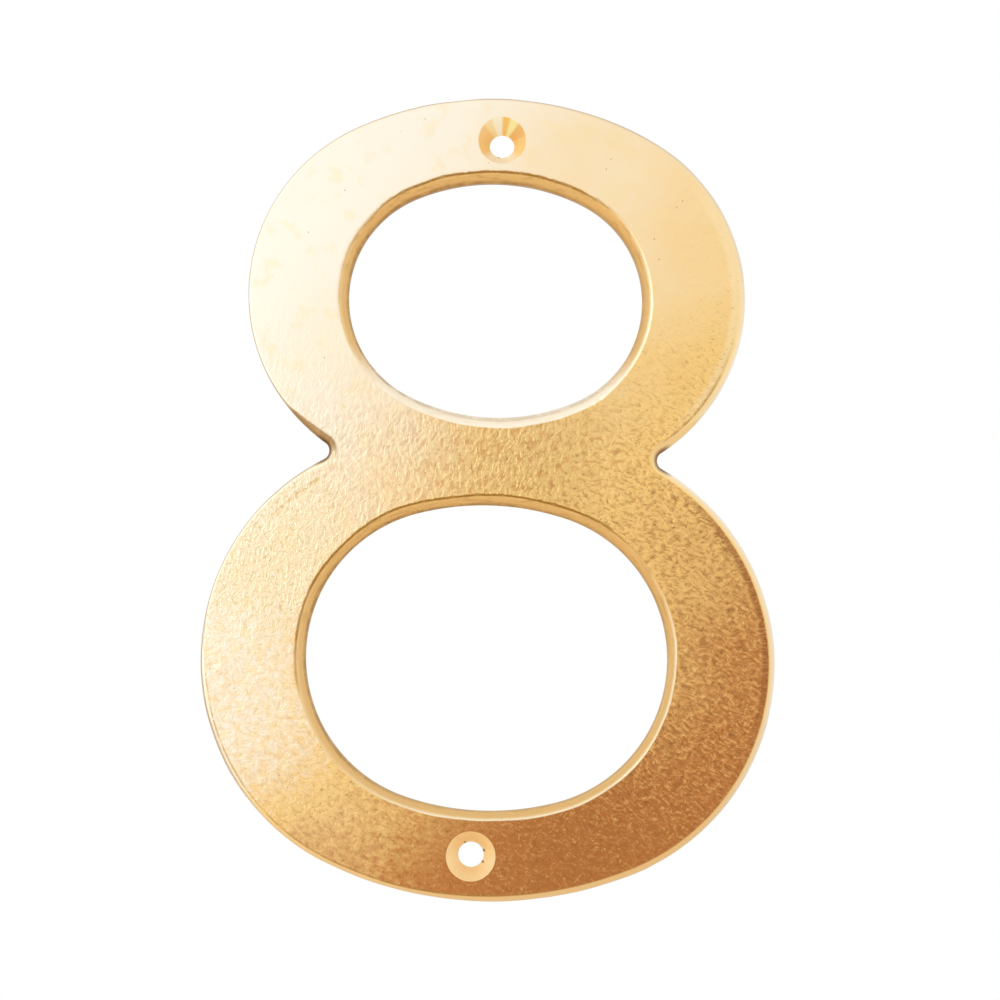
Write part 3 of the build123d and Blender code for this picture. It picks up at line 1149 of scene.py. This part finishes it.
class HOUSE_NUMBER_OT_finish_brass(Operator):
    """Give the casting its brass: buffed, grained and toned, with painted light and shade, clean sinks, dark
    pits and shaded notches
    """

    bl_idname = "house_number.finish_brass"
    bl_label = "Finish the brass"

    def execute(self, context):
        scene = context.scene
        sizes = scene.house_number_figure
        figure = Figure(sizes)
        mesh = bpy.data.objects[PIECE].data
        points = np.empty(len(mesh.vertices) * 3, np.float32)
        mesh.vertices.foreach_get("co", points)
        flat = points.reshape(-1, 3)[:, (0, 2)].astype(float)
        insets = {OUTER_INSET: figure.from_outline(flat), BEVEL_INSET: figure.from_bevels(flat)}
        for name, metres in insets.items():
            attribute = mesh.attributes.new(name, "FLOAT", "POINT")
            attribute.data.foreach_set("value", (metres / MM).astype(np.float32))
        mesh.shade_smooth()
        mesh.set_sharp_from_angle(angle=SHARP_FOLD)
        mesh.materials.clear()
        brass = brass_material(scene.house_number_brass, sizes, scene.house_number_holes, figure)
        mesh.materials.append(brass)
        return {"FINISHED"}


def stage_sheet(name, half_width, start, end, material):
    """A flat sheet as wide as the stage, from one line across it to another, given by their y and z."""
    ends = ((-half_width, start), (half_width, start), (half_width, end), (-half_width, end))
    sheet = add_mesh(name, np.array([(x, *place) for x, place in ends]), [[0, 1, 2, 3]])
    sheet.data.materials.append(material)


def plain_material(name, value, lit):
    """A plain matt colour, or, where lit, one that seen, mirrored or through glass is white."""
    material = bpy.data.materials.new(name)
    n = Nodes(material)
    surface = n.add("ShaderNodeBsdfDiffuse", {"Color": value})
    if lit:
        rays = n.tree.nodes.new("ShaderNodeLightPath").outputs
        seen = n.plus(rays["Is Camera Ray"], rays["Is Glossy Ray"], rays["Is Transmission Ray"])
        glow = n.add("ShaderNodeEmission", {"Color": (1.0, 1.0, 1.0), "Strength": 1.0})
        surface = n.add("ShaderNodeMixShader", {0: n.math("MINIMUM", seen, 1.0), 1: surface, 2: glow})
    n.add("ShaderNodeOutputMaterial", {"Surface": surface})
    return material


def soft_room():
    """Pale surroundings, softly warmer and lower in front at the lower right."""
    world = bpy.data.worlds.new("soft_room")
    n = Nodes(world)
    pale = (1.0, 0.97, 0.92)
    warm = (0.64, 0.54, 0.44)
    warm_way = (0.185, -0.938, -0.293)
    way = n.add("ShaderNodeTexCoord", output="Generated")
    near = n.add("ShaderNodeVectorMath", {0: way, 1: warm_way}, output=1, operation="DOT_PRODUCT")
    sky = n.blend(n.ramp(near, 0.995, 0.905), warm, pale)
    light = n.add("ShaderNodeBackground", {"Color": sky, "Strength": 1.0})
    n.add("ShaderNodeOutputWorld", {"Surface": light})
    return world


def soft_lamp(name, place, size, energy, tint):
    """A large soft lamp turned towards the figure."""
    lamp = bpy.data.lights.new(name, "AREA")
    lamp.shape = "RECTANGLE"
    lamp.size, lamp.size_y = size
    lamp.energy = energy
    lamp.color = tint
    holder = bpy.data.objects.new(name, lamp)
    holder.location = place
    holder.rotation_euler = (-Vector(place)).to_track_quat("-Z", "Y").to_euler()
    bpy.context.scene.collection.objects.link(holder)


def stage_camera(stage):
    """A camera that looks up by its rise, leans by its roll, and stands off the middle of the view."""
    camera = bpy.data.cameras.new("camera")
    camera.lens = stage.lens
    camera.sensor_width = 36.0
    camera.clip_start = 0.01
    holder = bpy.data.objects.new("camera", camera)
    bpy.context.scene.collection.objects.link(holder)
    ahead = Vector((0, math.cos(stage.rise), math.sin(stage.rise)))
    level_up = Vector((0, -math.sin(stage.rise), math.cos(stage.rise)))
    level_right = Vector((1, 0, 0))
    up = math.cos(stage.roll) * level_up - math.sin(stage.roll) * level_right
    right = math.cos(stage.roll) * level_right + math.sin(stage.roll) * level_up
    turned = Matrix((right, up, -ahead)).transposed().to_4x4()
    holder.matrix_world = Matrix.Translation(Vector(stage.aim) - ahead * stage.distance) @ turned
    return holder


class HOUSE_NUMBER_OT_set_stage(Operator):
    """Set the pale floor, the white backdrop, the soft light and the camera"""

    bl_idname = "house_number.set_stage"
    bl_label = "Set the stage"

    def execute(self, context):
        scene = context.scene
        stage = scene.house_number_stage
        near = (-stage.floor_reach, -stage.floor_drop)
        corner = (stage.backdrop_gap, -stage.floor_drop)
        high = (stage.backdrop_gap, stage.backdrop_top)
        floor = plain_material("pale_floor", (0.92, 0.88, 0.82), lit=False)
        white = plain_material("white_backdrop", (0.9, 0.9, 0.9), lit=True)
        stage_sheet("floor", stage.half_width, near, corner, floor)
        stage_sheet("backdrop", stage.half_width, corner, high, white)
        scene.world = soft_room()
        soft_lamp("key", place=(-1.0, -1.25, 0.45), size=(1.1, 1.7), energy=6.0, tint=(0.87, 0.93, 1.0))
        scene.camera = stage_camera(stage)
        scene.view_settings.view_transform = "Standard"
        return {"FINISHED"}


class HOUSE_NUMBER_PT_panel(Panel):
    """The steps of the house number, in order, with the sizes each uses"""

    bl_idname = "HOUSE_NUMBER_PT_panel"
    bl_label = "House number"
    bl_space_type = "VIEW_3D"
    bl_region_type = "UI"
    bl_category = "House number"

    def draw(self, context):
        for operator, group in STEPS:
            box = self.layout.box()
            box.operator(operator.bl_idname)
            settings = getattr(context.scene, group)
            for key in settings.__annotations__:
                box.prop(settings, key)


STEPS = (
    (HOUSE_NUMBER_OT_cast_figure, "house_number_figure"),
    (HOUSE_NUMBER_OT_sink_holes, "house_number_holes"),
    (HOUSE_NUMBER_OT_finish_brass, "house_number_brass"),
    (HOUSE_NUMBER_OT_set_stage, "house_number_stage"),
)
GROUPS = {
    "house_number_figure": FigureSizes,
    "house_number_holes": HoleSizes,
    "house_number_brass": BrassFinish,
    "house_number_stage": StageSizes,
}


def register():
    for group in GROUPS.values():
        bpy.utils.register_class(group)
    for name, group in GROUPS.items():
        setattr(bpy.types.Scene, name, PointerProperty(type=group))
    for operator, _ in STEPS:
        bpy.utils.register_class(operator)
    bpy.utils.register_class(HOUSE_NUMBER_PT_panel)


def unregister():
    bpy.utils.unregister_class(HOUSE_NUMBER_PT_panel)
    for operator, _ in reversed(STEPS):
        bpy.utils.unregister_class(operator)
    for name in GROUPS:
        delattr(bpy.types.Scene, name)
    for group in GROUPS.values():
        bpy.utils.unregister_class(group)


def main():
    register()
    bpy.ops.house_number.cast_figure()
    bpy.ops.house_number.sink_holes()
    bpy.ops.house_number.finish_brass()
    bpy.ops.house_number.set_stage()


if __name__ == "__main__":
    main()
